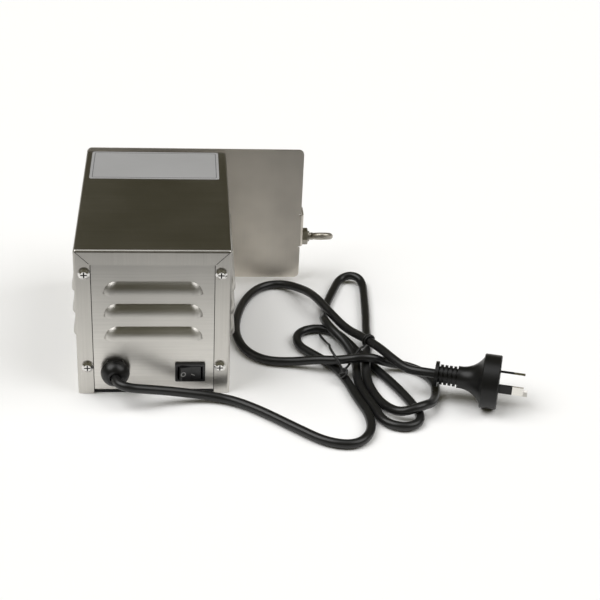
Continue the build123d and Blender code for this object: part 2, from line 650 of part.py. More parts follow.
with BuildPart() as arbor_spacers:
    for i, centre in enumerate(arbors_at):
        for top, bottom in ((front_plate_in, tops[i] + screw_gap),
                            (tops[i + 1] - layer[i + 1] - screw_gap, back_plate_y)):
            with BuildSketch(wall(top)):
                with Locations(centre):
                    Circle(arbor_spacer_r)
                    Circle(arbor_r + press_gap, mode=Mode.SUBTRACT)
            extrude(amount=top - bottom)
write(arbor_spacers.part, "arbor_spacers")

# ---------------------------------------------------------------- gears
for i, name in enumerate(("gear_3", "gear_2", "gear_1")):
    with BuildPart() as cluster:
        with BuildSketch(wall(tops[i + 1])):
            with BuildLine():
                Polyline(*wheel_outline(i + 1), close=True)
            make_face()
        extrude(amount=layer[i + 1])
        with BuildSketch(wall(tops[i])):
            with BuildLine():
                Polyline(*pinion_outline(i), close=True)
            make_face()
        extrude(amount=tops[i] - tops[i + 1])
        with BuildSketch(wall(tops[i])):
            with Locations(arbors_at[i]):
                Circle(arbor_r + run_gap)
        extrude(amount=tops[i] - tops[i + 1] + layer[i + 1], mode=Mode.SUBTRACT)
    write(cluster.part, name)

with BuildPart() as output_gear:
    with BuildSketch(wall(tops[0])):
        with BuildLine():
            Polyline(*wheel_outline(0), close=True)
        make_face()
        with Locations((0, hub_z)):
            Circle(hub_r + press_gap, mode=Mode.SUBTRACT)
            with PolarLocations(16.5, 6):
                Circle(4.0, mode=Mode.SUBTRACT)
    extrude(amount=layer[0])
write(output_gear.part, "output_gear")

# ---------------------------------------------------------------- spit socket and its bushes
hub_face = drive_y + hub_proud
hub_step = back_plate_y + 4
clip_y = drive_y + bush_flange_t + 0.1 + clip_t
with BuildPart() as spit_hub:
    with BuildSketch(wall(hub_face)):
        with Locations((0, hub_z)):
            Circle(hub_r)
    extrude(amount=hub_face - hub_step)
    chamfer(spit_hub.edges().sort_by(Axis.Y)[-1], 0.6)
    with BuildSketch(wall(hub_step)):
        with Locations((0, hub_z)):
            Circle(hub_tail_r)
    extrude(amount=hub_step - back_plate_out + 0.5)
    with BuildSketch(wall(clip_y + run_gap)):
        with Locations((0, hub_z)):
            Circle(hub_r + 1)
            Circle(hub_r - clip_groove, mode=Mode.SUBTRACT)
    extrude(amount=clip_t + 2 * run_gap, mode=Mode.SUBTRACT)
    with BuildSketch(wall(hub_face)):
        with Locations((0, hub_z)):
            Rectangle(socket_af, socket_af)
    extrude(amount=34, mode=Mode.SUBTRACT)
write(spit_hub.part, "spit_hub")

with BuildPart() as hub_clip:
    with BuildSketch(wall(clip_y)):
        with Locations((0, hub_z)):
            Circle(hub_r + 2.2)
            Circle(hub_r - clip_groove + run_gap, mode=Mode.SUBTRACT)
        with Locations((0, hub_z + hub_r)):
            Rectangle(5, hub_r, mode=Mode.SUBTRACT)
    extrude(amount=clip_t)
write(hub_clip.part, "hub_clip")

with BuildPart() as output_bushes:
    with BuildSketch(wall(drive_y)):
        with Locations((0, hub_z)):
            Circle(hub_r + bush_wall)
            Circle(hub_r + run_gap, mode=Mode.SUBTRACT)
    extrude(amount=drive_y - front_plate_in)
    with BuildSketch(wall(drive_y + bush_flange_t)):
        with Locations((0, hub_z)):
            Circle(bush_flange_r)
            Circle(hub_r + run_gap, mode=Mode.SUBTRACT)
    extrude(amount=bush_flange_t)
    with BuildSketch(wall(back_plate_y)):
        with Locations((0, hub_z)):
            Circle(hub_tail_r + bush_wall)
            Circle(hub_tail_r + run_gap, mode=Mode.SUBTRACT)
    extrude(amount=gear_plate_t)
write(output_bushes.part, "output_bushes")

# ---------------------------------------------------------------- motor
stack_front = back_plate_out - stack_gap
stack_back = stack_front - stack_t
stack_mid = (stack_front + stack_back) / 2
limb_z = rotor_z - stack_down + limb / 2
window_w = stack_w - 2 * limb
motor_screws_at = [(rotor_x + side * motor_screw_x, rotor_z) for side in (-1, 1)]
ring_out, ring_lead, ring_lag, ring_rod = 16.5, 35.0, 62.0, 1.0
rod_places = [(rotor_x + ring_out * cos(radians(a + flip)),
               rotor_z + ring_out * sin(radians(a + flip)))
              for flip in (0, 180) for a in (ring_lead, ring_lag)]

with BuildPart() as stator_stack:
    with BuildSketch(wall(stack_front)) as lamination:
        with Locations((rotor_x, rotor_z - stack_down)):
            Rectangle(stack_w, stack_up + stack_down, align=(Align.CENTER, Align.MIN))
        fillet(lamination.vertices(), 3)
        with Locations((rotor_x, rotor_z - stack_down)):
            Rectangle(window_w, stack_down - window_top, align=(Align.CENTER, Align.MIN),
                      mode=Mode.SUBTRACT)
        with Locations((rotor_x, rotor_z)):
            Circle(rotor_r + air_gap, mode=Mode.SUBTRACT)
        with Locations(*motor_screws_at):
            Circle(screw_r + screw_gap, mode=Mode.SUBTRACT)
        with Locations(*rod_places):
            Circle(ring_rod + 0.1, mode=Mode.SUBTRACT)
    extrude(amount=stack_t)
write(stator_stack.part, "stator_stack")

with BuildPart() as coil_core:
    with BuildSketch(wall(stack_front)):
        with Locations((rotor_x, limb_z)):
            Rectangle(window_w - 2 * press_gap, limb)
    extrude(amount=stack_t)
write(coil_core.part, "coil_core")

sleeve_y, sleeve_z = stack_t + 2 * screw_gap, limb + 2 * screw_gap
with BuildPart() as bobbin:
    with BuildSketch(Plane.YZ.offset(rotor_x)):
        with Locations((stack_mid, limb_z)):
            Rectangle(sleeve_y + 2 * bobbin_wall, sleeve_z + 2 * bobbin_wall)
    extrude(amount=coil_w / 2, both=True)
    for side in (-1, 1):
        with BuildSketch(Plane.YZ.offset(rotor_x + side * (coil_w - bobbin_flange) / 2)):
            with Locations((stack_mid, limb_z)):
                Rectangle(sleeve_y + 2 * (coil_wind + 1), sleeve_z + 2 * (coil_wind + 1))
        extrude(amount=bobbin_flange / 2, both=True)
    with BuildSketch(Plane.YZ.offset(rotor_x)):
        with Locations((stack_mid, limb_z)):
            Rectangle(sleeve_y, sleeve_z)
    extrude(amount=coil_w, both=True, mode=Mode.SUBTRACT)
write(bobbin.part, "bobbin")

wind_y, wind_z = sleeve_y + 2 * bobbin_wall, sleeve_z + 2 * bobbin_wall
with BuildPart() as coil:
    with BuildSketch(Plane.YZ.offset(rotor_x)) as turns:
        with Locations((stack_mid, limb_z)):
            Rectangle(wind_y + 2 * (coil_wind - 1), wind_z + 2 * (coil_wind - 1))
        fillet(turns.vertices(), 4)
        with Locations((stack_mid, limb_z)):
            Rectangle(wind_y + 2 * press_gap, wind_z + 2 * press_gap, mode=Mode.SUBTRACT)
    extrude(amount=coil_w / 2 - bobbin_flange - press_gap, both=True)
write(coil.part, "coil")
coil_back_y = stack_mid - wind_y / 2 - coil_wind + 1

with BuildPart() as shading_rings:
    with BuildSketch(wall(stack_front)):
        with Locations(*rod_places):
            Circle(ring_rod)
    extrude(amount=stack_t)
    half_open = radians(ring_lag - ring_lead) / 2
    for strap_top in (stack_front + 1.5, stack_back):
        with BuildSketch(wall(strap_top)):
            for flip in (0, 180):
                a = radians((ring_lead + ring_lag) / 2 + flip)
                mid = ring_out * cos(half_open)
                with Locations(Location((rotor_x + mid * cos(a), rotor_z + mid * sin(a), 0),
                                        (0, 0, degrees(a) + 90))):
                    SlotCenterToCenter(2 * ring_out * sin(half_open), 2 * ring_rod)
        extrude(amount=1.5)
write(shading_rings.part, "shading_rings")

shaft_back = stack_back - 19
with BuildPart() as rotor_shaft:
    with BuildSketch(wall(tops[3] - layer[3])):
        with Locations((rotor_x, rotor_z)):
            Circle(rotor_shaft_r)
    extrude(amount=tops[3] - layer[3] - shaft_back)
    with BuildSketch(wall(tops[3])):
        with BuildLine():
            Polyline(*pinion_outline(3), close=True)
        make_face()
    extrude(amount=layer[3])
write(rotor_shaft.part, "rotor_shaft")

with BuildPart() as rotor_core:
    with BuildSketch(wall(stack_front)):
        with Locations((rotor_x, rotor_z)):
            Circle(rotor_r)
            Circle(rotor_shaft_r + press_gap, mode=Mode.SUBTRACT)
    extrude(amount=stack_t)
write(rotor_core.part, "rotor_core")

bridge_back = stack_back - 17
with BuildPart() as motor_bridge:
    with BuildSketch(Plane.XY.offset(rotor_z)):
        with BuildLine():
            Polyline(*[(rotor_x + x, y) for x, y in (
                (-27, stack_back), (-27, stack_back - 2), (-15, stack_back - 2),
                (-15, bridge_back), (15, bridge_back), (15, stack_back - 2),
                (27, stack_back - 2), (27, stack_back), (13, stack_back),
                (13, bridge_back + 2), (-13, bridge_back + 2), (-13, stack_back))], close=True)
        make_face()
    extrude(amount=6.5, both=True)
    with BuildSketch(wall(stack_back + 1)):
        with Locations(*motor_screws_at):
            Circle(screw_r + screw_gap)
    extrude(amount=4, mode=Mode.SUBTRACT)
    with BuildSketch(wall(stack_back)):
        with Locations((rotor_x, rotor_z)):
            Circle(2 * rotor_shaft_r + press_gap)
    extrude(amount=30, mode=Mode.SUBTRACT)
write(motor_bridge.part, "motor_bridge")

with BuildPart() as motor_bushes:
    for top, length in ((back_plate_y, 6), (bridge_back + 4, 6)):
        with BuildSketch(wall(top)):
            with Locations((rotor_x, rotor_z)):
                Circle(2 * rotor_shaft_r)
                Circle(rotor_shaft_r + run_gap, mode=Mode.SUBTRACT)
        extrude(amount=length)
write(motor_bushes.part, "motor_bushes")

with BuildPart() as motor_spacers:
    with BuildSketch(wall(back_plate_out)):
        with Locations(*motor_screws_at):
            Circle(pillar_r)
            Circle(screw_r + run_gap, mode=Mode.SUBTRACT)
    extrude(amount=stack_gap)
write(motor_spacers.part, "motor_spacers")

motor_screw = pan_screw(back_plate_y - stack_back + 2 - 0.2)
with BuildPart() as motor_screws:
    with Locations(*[Location((x, stack_back - 2, z)) for x, z in motor_screws_at]):
        add(motor_screw)
write(motor_screws.part, "motor_screws")

# ---------------------------------------------------------------- earth stud and leads
stud_x, stud_y = -20.0, rear_y + 50.5
with BuildPart() as earth_stud:
    with BuildSketch(Plane.XY.offset(base_top)):
        with Locations((stud_x, stud_y)):
            Circle(screw_r)
    extrude(amount=10)
write(earth_stud.part, "earth_stud")

with BuildPart() as earth_lug:
    with BuildSketch(Plane.XY.offset(base_top)):
        with Locations((stud_x, stud_y)):
            Circle(4.2)
        with Locations((stud_x, stud_y - 5)):
            Rectangle(3.4, 7)
        with Locations((stud_x, stud_y)):
            Circle(screw_r + run_gap, mode=Mode.SUBTRACT)
    extrude(amount=0.8)
write(earth_lug.part, "earth_lug")

with BuildPart() as earth_nut:
    with BuildSketch(Plane.XY.offset(base_top + 0.8)):
        with Locations((stud_x, stud_y)):
            RegularPolygon(3.5, 6, major_radius=False)
            Circle(screw_r + run_gap, mode=Mode.SUBTRACT)
    extrude(amount=3.2)
write(earth_nut.part, "earth_nut")

tab_end_y, lead_rest_z = body_back_y + 8, base_top + 0.8 + lead_r
leads = {
    "lead_active": [(gland_x, cord_tail_y, gland_z + 1.7),
                    (gland_x, cord_tail_y + 10, gland_z + 1.7),
                    (gland_x + 8.5, tab_end_y + 13, gland_z + 5.5),
                    (6, tab_end_y + 18, 30), (23, tab_end_y + 16, 28),
                    (tab_x[1], tab_end_y + 8.5, switch_z), (tab_x[1], tab_end_y, switch_z)],
    "lead_neutral": [(gland_x - 1.5, cord_tail_y, gland_z - 0.9),
                     (gland_x - 1.5, cord_tail_y + 14, gland_z - 0.9),
                     (gland_x + 2.5, coil_back_y - 31, 22), (-8, coil_back_y - 15, 28),
                     (3, coil_back_y - 9.8, 30), (3, coil_back_y, 30)],
    "lead_earth": [(gland_x + 1.5, cord_tail_y, gland_z - 0.9),
                   (gland_x + 1.5, cord_tail_y + 10, gland_z - 0.9),
                   (gland_x + 4.5, stud_y - 17, 10),
                   (stud_x, stud_y - 11, lead_rest_z), (stud_x, stud_y - 4.3, lead_rest_z)],
    "lead_switched": [(tab_x[0], tab_end_y, switch_z), (tab_x[0], tab_end_y + 10, switch_z),
                      (17, coil_back_y - 31, 25), (18.6, coil_back_y - 13, 34),
                      (18.6, coil_back_y, 34)],
}
for name, points in leads.items():
    first = Vector(*points[1]) - Vector(*points[0])
    with BuildPart() as lead:
        with BuildLine():
            FilletPolyline(*points, radius=soft_radii(points))
        with BuildSketch(Plane(origin=points[0], z_dir=first)):
            Circle(lead_r)
        sweep()
    write(lead.part, name)
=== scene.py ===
# %% [markdown]
# # A rotisserie drive motor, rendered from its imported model
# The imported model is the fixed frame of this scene: every piece is in metres, in the frame of
# the model, with the origin in the middle of the case's footprint on the ground.  This script
# adds the finish of each surface, the free mains cord, a few small parts, light and a camera.

# %%
from math import cos, pi, radians, sin, tan

import bmesh
import bpy
from mathutils import Matrix, Vector


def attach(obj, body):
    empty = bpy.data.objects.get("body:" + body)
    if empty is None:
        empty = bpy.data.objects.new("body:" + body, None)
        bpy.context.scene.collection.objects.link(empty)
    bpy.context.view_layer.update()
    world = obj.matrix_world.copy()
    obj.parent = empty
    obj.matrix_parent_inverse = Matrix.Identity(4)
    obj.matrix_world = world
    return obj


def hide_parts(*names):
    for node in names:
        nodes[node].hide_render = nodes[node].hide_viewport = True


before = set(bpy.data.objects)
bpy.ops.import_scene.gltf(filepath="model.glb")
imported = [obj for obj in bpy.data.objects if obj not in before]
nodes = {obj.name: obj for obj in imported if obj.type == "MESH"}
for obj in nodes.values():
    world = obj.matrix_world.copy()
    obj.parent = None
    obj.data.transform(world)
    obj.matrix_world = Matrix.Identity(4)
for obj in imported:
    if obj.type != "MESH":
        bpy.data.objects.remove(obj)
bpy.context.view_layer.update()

# %% [markdown]
# ## Camera
# A long lens looks down at about thirty degrees on the switch side, turned a few degrees
# towards the wing of the mounting plate.  The lens has no shift; a small roll levels the case.

# %%
EYE = Vector((0.019585, -0.882172, 0.544274))
YAW, PITCH, ROLL = radians(5.660), radians(30.190), radians(2.943)
LENS, SENSOR = 82.43, 36.0
CLIP_NEAR, CLIP_FAR = 0.05, 20

forward = Vector((sin(YAW) * cos(PITCH), cos(YAW) * cos(PITCH), -sin(PITCH)))
level = Vector((cos(YAW), -sin(YAW), 0))
upright = level.cross(forward)
right = cos(ROLL) * level + sin(ROLL) * upright
up = -sin(ROLL) * level + cos(ROLL) * upright

camera = bpy.data.objects.new("camera", bpy.data.cameras.new("camera"))
bpy.context.scene.collection.objects.link(camera)
camera.data.lens, camera.data.sensor_width = LENS, SENSOR
camera.data.clip_start, camera.data.clip_end = CLIP_NEAR, CLIP_FAR
axes = Matrix((right, up, -forward)).transposed()
camera.matrix_world = Matrix.Translation(EYE) @ axes.to_4x4()
bpy.context.scene.camera = camera
print("camera at", tuple(round(v, 3) for v in EYE), "lens", LENS)

# %% [markdown]
# ## Mains cord
# The cord leaves the gland on the switch side, drops to the ground, and lies in loose loops
# that cross over each other beside the case, up to the plug.  Its line is one smooth NURBS
# spline on the points of the route.  Places are in millimetres here and in the sections below,
# and are divided by 1000 where a piece is made.

# %%
CORD_R, TIE_R, TURNS_R = 0.00325, 0.0009, 0.0008       # metres
FLOOR = 3.3                      # height of the cord's centre where it lies on the ground
ROUTE = [
    (-26.5, -84, 18.8), (-26.5, -95.1, 18.8), (-17.2, -101.2, 18.3), (-5.5, -98.8, 15.6),
    (7.8, -94.4, 11.4), (23.6, -91.9, 7.6), (40.4, -91, 4.3), (56.3, -95.4, FLOOR),
    (73.9, -107.7, FLOOR), (97.1, -128.6, FLOOR), (115.9, -144.6, FLOOR), (135.4, -148.1, FLOOR),
    (147.3, -133.8, FLOOR), (147.9, -112.9, FLOOR), (141.3, -92.4, FLOOR), (136.9, -71.6, FLOOR),
    (129.8, -51.7, FLOOR), (116.2, -36.9, FLOOR), (104.2, -23.1, FLOOR), (105.1, -5.9, FLOOR),
    (119.5, 2, FLOOR), (134, -3.7, FLOOR), (142.9, -19.3, FLOOR), (150.6, -39.1, FLOOR),
    (168.3, -72.7, FLOOR), (177.5, -94.2, FLOOR), (185, -118.2, FLOOR), (173.1, -129.3, FLOOR),
    (156.7, -122.6, FLOOR), (152.1, -103.2, FLOOR), (145.9, -84.7, FLOOR), (143.9, -65.4, FLOOR),
    (146, -45.4, FLOOR), (139.9, -26.8, 7.8), (130.1, -12.6, 11.5), (126, 0.9, 10.9),
    (127.2, 15, 4.2), (130.2, 30.3, FLOOR), (132.9, 41.8, FLOOR), (139.7, 61.2, FLOOR),
    (144.6, 75, FLOOR), (152.6, 78.7, 6), (160.5, 75.4, 6), (163.7, 67.9, FLOOR),
    (162, 42.5, 3.7), (160.1, 16.5, FLOOR), (158, -2.3, FLOOR), (157.1, -28.9, 4.2),
    (153.7, -43.7, 11.4), (151.2, -56.5, 8.9), (150.7, -70.9, 4.1), (153.6, -86.4, FLOOR),
    (158.8, -103, 4.3), (168.7, -117.4, 7.5), (184, -114.3, 11.5), (193.3, -103.2, 6.2),
    (197.7, -90.1, FLOOR), (200, -73.4, FLOOR), (193, -59.4, FLOOR), (180.1, -51.7, 4.2),
    (166, -53.9, 7.9), (154.1, -58.5, 15.5), (142.5, -59.5, 15.1), (131, -55.8, 10.9),
    (116.7, -51.3, 8.7), (99.5, -46.8, 4), (80.5, -44.7, FLOOR), (65.7, -31.9, FLOOR),
    (58.9, -8.5, FLOOR), (60.8, 18.1, FLOOR), (68.5, 45.9, FLOOR), (81.5, 65.1, FLOOR),
    (98.5, 69.6, FLOOR), (112.3, 55.3, 7.1), (121.4, 34.9, 12.5), (131.5, 11.2, 11.1),
    (141.5, -13.1, 11.1), (153.1, -31.5, 14.6), (162.6, -48.3, 16.3), (169.2, -63, 17),
    (177.7, -76.4, 16.9)]

PLUG_AT, PLUG_AXIS = Vector((233.9, -96.3, 19.2)), Vector((0.960, -0.279, 0.011)).normalized()
PLUG_HEAD, PLUG_BACK, LAST_RUN = 12.0, 33.0, 9.6
relief_end = PLUG_AT - PLUG_AXIS * (PLUG_HEAD / 2 + PLUG_BACK)
ROUTE += [tuple(relief_end - PLUG_AXIS * LAST_RUN), tuple(relief_end)]


def add_object(name, data):
    """A new object in the scene."""
    piece = bpy.data.objects.new(name, data)
    bpy.context.scene.collection.objects.link(piece)
    return piece


def round_line(name, points, radius, stands_for=()):
    """A smooth round cord or wire along points in mm; each point carries the radius."""
    curve = bpy.data.curves.new(name, "CURVE")
    curve.dimensions = "3D"
    line = curve.splines.new("NURBS")
    line.points.add(len(points) - 1)
    for point, place in zip(line.points, points):
        point.co = (*[v / 1000 for v in place], 1)
        point.radius = radius
    line.order_u = 3
    line.use_endpoint_u = True
    curve.resolution_u = curve.bevel_resolution = 6
    curve.bevel_depth = 1.0                        # times each point's radius
    curve.use_fill_caps = True
    piece = add_object(name, curve)
    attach(piece, "frame")
    if stands_for:
        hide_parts(*stands_for)
    return piece, line


mains_cord, line = round_line("mains_cord", ROUTE, CORD_R, ["cord"])
print("cord points", len(ROUTE), "spline length", round(line.calc_length(), 4))

# %% [markdown]
# A coated wire ties the bundle.  One leg comes up from the bench over the crossing strand to a
# twist.  The other goes on under that strand to two turns round the strands behind.

# %%
TIE_LEG = [(122.9, -5.3, 1), (125.6, -22.5, 5.1), (126.7, -38, 12.8), (125, -51.6, 18.9),
           (129.4, -60.3, 15.6), (133.6, -66.4, 9.4), (136.6, -68.6, 8.2), (134.6, -71, 9.6),
           (131.4, -68.4, 8.6), (133.6, -65.6, 10.6), (137, -67.6, 10.4), (135.4, -71.6, 8),
           (132, -72.8, 6.4)]
WRAP_AT, WRAP_ALONG = Vector((155.25, -35.37, 14.93)), Vector((0.5013, -0.8584, 0.1086))
WRAP_SIDE = WRAP_ALONG.cross(Vector((0, 0, 1))).normalized()
WRAP_UP = WRAP_SIDE.cross(WRAP_ALONG)


def turn_over(shift, first, last, count=9, radius=4.35):
    """Points round the strand from one angle to another, in degrees from its side."""
    angles = [radians(first + (last - first) * k / (count - 1)) for k in range(count)]
    return [tuple(WRAP_AT + WRAP_ALONG * shift + radius * (cos(a) * WRAP_SIDE + sin(a) * WRAP_UP))
            for a in angles]


TIE_TURNS = turn_over(-1.0, -35, 205) + turn_over(1.2, 205, -35) + [
    (147.2, -41.8, 11.4), (143.6, -48.6, 9.2), (140.2, -55.4, 8.2), (137.2, -61.8, 8.8),
    (134.9, -66, 10), (132.6, -69.4, 9.6), (130.6, -70.8, 8.4)]
tie_wire, _ = round_line("tie_wire", TIE_LEG, TIE_R, ["cord_tie"])
tie_turns, _ = round_line("tie_turns", TIE_TURNS, TURNS_R)
print("tie pieces", tie_wire.name, tie_turns.name)

# %% [markdown]
# ## Shared shader groups
# Brushed sheet has long fine lines from the abrasive belt, so its grain is noise stretched along
# one direction, and a second direction on faces across Y.  The group puts out a tone, a
# roughness and a height; each metal places it with its own grain directions, colour and
# amounts.  Coordinates are the object's own, in metres, so the lines stay fixed to the sheet.

# %%
SOCKETS = {"float": "NodeSocketFloat", "vector": "NodeSocketVector"}
# A Mix node has a set of sockets for each data type, so they are told apart by number.
MIX_FACTOR, VECTOR_A, VECTOR_B, VECTOR_OUT = 0, 4, 5, 1
COLOUR_A, COLOUR_B, COLOUR_OUT = 6, 7, 2


def new_group(name, inputs, outputs):
    """An empty node group with named sockets; inputs are (name, kind, default)."""
    group = bpy.data.node_groups.new(name, "ShaderNodeTree")
    for label, kind, default in inputs:
        socket = group.interface.new_socket(label, in_out="INPUT", socket_type=SOCKETS[kind])
        socket.default_value = default
    for label, kind in outputs:
        group.interface.new_socket(label, in_out="OUTPUT", socket_type=SOCKETS[kind])
    return group, group.nodes.new("NodeGroupInput"), group.nodes.new("NodeGroupOutput")


def node(tree, kind, links=(), **settings):
    """A node with its settings and its input links, given as {input: socket or value}."""
    made = tree.nodes.new(kind)
    for key, value in settings.items():
        setattr(made, key, value)
    for key, value in dict(links).items():
        if isinstance(value, bpy.types.NodeSocket):
            tree.links.new(value, made.inputs[key])
        else:
            made.inputs[key].default_value = value
    return made


def calculate(tree, operation, *values):
    """The result of a Math node on sockets or numbers."""
    return node(tree, "ShaderNodeMath", enumerate(values), operation=operation).outputs[0]


def remap(tree, value, span, target, **settings):
    """A value mapped from one range to another, held inside it."""
    (low, high), (start, end) = span, target
    return node(tree, "ShaderNodeMapRange", {
        "Value": value, "From Min": low, "From Max": high, "To Min": start, "To Max": end},
        **settings).outputs[0]


print("socket kinds", sorted(SOCKETS))

# %%
END_ON = 0.7                     # a face counts as across Y from this part of its normal
CASE_TOP = 0.113
SCUFF_TURN, SCUFF_SIZE = (0.2, 0.3, radians(38)), (0.05, 0.0016, 0.0016)
SCUFF_NOISE, CLOUD_NOISE = (0.68, 0.82), (0.3, 0.7)      # parts of the noise that count
brushed, given, made = new_group(
    "brushed_grain",
    [("Grain", "vector", (1500, 1500, 20)), ("End Grain", "vector", (1500, 1500, 20)),
     ("Tone Depth", "float", 0.12), ("Roughness", "float", 0.32),
     ("Roughness Depth", "float", 0.10), ("Scuff", "float", 0.0), ("Fade", "float", 0.0),
     ("Cloud", "float", 0.0)],
    [("Tone", "float"), ("Roughness", "float"), ("Height", "float")])
where = node(brushed, "ShaderNodeTexCoord")
facing = node(brushed, "ShaderNodeSeparateXYZ", {0: where.outputs["Normal"]})
end_on = calculate(brushed, "ABSOLUTE", facing.outputs["Y"])
end_face = calculate(brushed, "GREATER_THAN", end_on, END_ON)
grain = node(brushed, "ShaderNodeMix", {
    MIX_FACTOR: end_face, VECTOR_A: given.outputs["Grain"],
    VECTOR_B: given.outputs["End Grain"]}, data_type="VECTOR")
along = node(brushed, "ShaderNodeVectorMath", {
    0: where.outputs["Object"], 1: grain.outputs[VECTOR_OUT]}, operation="MULTIPLY")
lines = node(brushed, "ShaderNodeTexNoise", {
    "Vector": along.outputs[0], "Scale": 1.0, "Detail": 4.0, "Roughness": 0.62})
cloud = node(brushed, "ShaderNodeTexNoise", {
    "Vector": where.outputs["Object"], "Scale": 14.0, "Detail": 3.0})
both = calculate(brushed, "ADD", lines.outputs[0], cloud.outputs[0])
centred = calculate(brushed, "SUBTRACT", both, 1.0)
print("grain and cloud nodes", len(brushed.nodes))

# %% [markdown]
# Scuffs are short strokes on a slant across the grain.  Cloud is the slow mottling of handled
# sheet.  A painted shade by height makes the sheet darker towards the top of the case and
# lighter near the ground, by its own amount.

# %%
slant = node(brushed, "ShaderNodeMapping", {
    "Vector": where.outputs["Object"], "Rotation": SCUFF_TURN, "Scale": SCUFF_SIZE},
    vector_type="TEXTURE")
strokes = node(brushed, "ShaderNodeTexNoise", {
    "Vector": slant.outputs[0], "Scale": 1.0, "Detail": 1.0})
scratch = remap(brushed, strokes.outputs[0], SCUFF_NOISE, (0.0, 1.0))
scuffed = calculate(brushed, "MULTIPLY", scratch, given.outputs["Scuff"])
plain = calculate(brushed, "MULTIPLY_ADD", centred, given.outputs["Tone Depth"], 1.0)
patch = remap(brushed, cloud.outputs[0], CLOUD_NOISE, (-0.5, 0.5))
patchy = calculate(brushed, "MULTIPLY_ADD", patch, given.outputs["Cloud"], plain)
worn = calculate(brushed, "ADD", patchy, scuffed)
# Painted shade by height: the tone is scaled from lighter at the ground to darker at the top of
# the case.
place = node(brushed, "ShaderNodeSeparateXYZ", {0: where.outputs["Object"]})
height = remap(brushed, place.outputs["Z"], (0.0, CASE_TOP), (0.5, -0.5))
painted_height_shade = calculate(brushed, "MULTIPLY_ADD", height, given.outputs["Fade"], 1.0)
tone = calculate(brushed, "MULTIPLY", worn, painted_height_shade)
even = calculate(brushed, "MULTIPLY_ADD", centred, given.outputs["Roughness Depth"],
                 given.outputs["Roughness"])
rough = calculate(brushed, "ADD", even, scuffed)
brushed.links.new(tone, made.inputs["Tone"])
brushed.links.new(rough, made.inputs["Roughness"])
brushed.links.new(lines.outputs[0], made.inputs["Height"])
print("group", brushed.name, "nodes", len(brushed.nodes))

# %% [markdown]
# Moulded plastic and rubber have a fine even skin instead: small soft grain with faint cloudy
# variation in gloss, where hands and the mould polish it.

# %%
moulded, given, made = new_group(
    "moulded_skin",
    [("Grain Scale", "float", 2600.0), ("Tone Depth", "float", 0.25),
     ("Roughness", "float", 0.4), ("Roughness Depth", "float", 0.15)],
    [("Tone", "float"), ("Roughness", "float"), ("Height", "float")])
where = node(moulded, "ShaderNodeTexCoord")
grain = node(moulded, "ShaderNodeTexNoise", {
    "Vector": where.outputs["Object"], "Scale": given.outputs["Grain Scale"], "Detail": 2.0})
cloud = node(moulded, "ShaderNodeTexNoise", {
    "Vector": where.outputs["Object"], "Scale": 60.0, "Detail": 3.0})
centred = calculate(moulded, "SUBTRACT", cloud.outputs[0], 0.5)
tone = calculate(moulded, "MULTIPLY_ADD", centred, given.outputs["Tone Depth"], 1.0)
rough = calculate(moulded, "MULTIPLY_ADD", centred, given.outputs["Roughness Depth"],
                  given.outputs["Roughness"])
moulded.links.new(tone, made.inputs["Tone"])
moulded.links.new(rough, made.inputs["Roughness"])
moulded.links.new(grain.outputs[0], made.inputs["Height"])
print("group", moulded.name, "nodes", len(moulded.nodes))

# %% [markdown]
# ## Materials
# Each material holds its own Principled BSDF.  Its colour is the plain colour of the piece
# multiplied by the group's tone, and the group also drives roughness and a shallow bump.

# %%


def finish_material(name, colour, group, settings, metallic=0.0, bump=0.05, depth=0.00002,
                    **shader):
    """A material whose colour, roughness and bump vary by a shader group."""
    material = bpy.data.materials.new(name)
    material.use_nodes = True
    tree = material.node_tree
    surface = tree.nodes["Principled BSDF"]
    surface.inputs["Metallic"].default_value = metallic
    for label, value in shader.items():
        surface.inputs[label.replace("_", " ")].default_value = value
    skin = tree.nodes.new("ShaderNodeGroup")
    skin.node_tree = group
    for label, value in settings.items():
        skin.inputs[label].default_value = value
    tone = skin.outputs["Tone"]
    grey = node(tree, "ShaderNodeCombineColor", {"Red": tone, "Green": tone, "Blue": tone})
    tint = node(tree, "ShaderNodeMix", {
        MIX_FACTOR: 1.0, COLOUR_A: (*colour, 1), COLOUR_B: grey.outputs[0]},
        data_type="RGBA", blend_type="MULTIPLY")
    tree.links.new(tint.outputs[COLOUR_OUT], surface.inputs["Base Color"])
    tree.links.new(skin.outputs["Roughness"], surface.inputs["Roughness"])
    dents = node(tree, "ShaderNodeBump", {
        "Strength": bump, "Distance": depth, "Height": skin.outputs["Height"]})
    tree.links.new(dents.outputs[0], surface.inputs["Normal"])
    return material


def dress(material, *names):
    """Gives CAD nodes a material."""
    for name in names:
        slots = nodes[name].data.materials
        if len(slots):
            for k in range(len(slots)):
                slots[k] = material
        else:
            slots.append(material)


print("nodes to dress", len(nodes))

# %%
# Case, panel and plate steel take painted shade by height from the group: darker towards the top
# of the case, lighter near the ground.
case_steel = finish_material(
    "case_steel", (0.50, 0.485, 0.455), brushed,
    {"Grain": (16, 1100, 1100), "End Grain": (1100, 1100, 14), "Tone Depth": 0.26,
     "Roughness": 0.33, "Roughness Depth": 0.12, "Scuff": 0.10, "Fade": 0.45, "Cloud": 0.08},
    metallic=1.0, bump=0.25)
panel_steel = finish_material(
    "panel_steel", (0.56, 0.545, 0.515), brushed,
    {"Grain": (14, 900, 900), "End Grain": (14, 900, 900), "Tone Depth": 0.30,
     "Roughness": 0.33, "Roughness Depth": 0.12, "Fade": 0.78, "Cloud": 0.10},
    metallic=1.0, bump=0.25, Anisotropic=0.65, Anisotropic_Rotation=0.25)
plate_steel = finish_material(
    "plate_steel", (0.69, 0.65, 0.59), brushed,
    {"Grain": (1100, 1100, 14), "End Grain": (1100, 1100, 14), "Tone Depth": 0.10,
     "Roughness": 0.52, "Roughness Depth": 0.14, "Fade": 0.7, "Cloud": 0.38},
    metallic=1.0, bump=0.10)
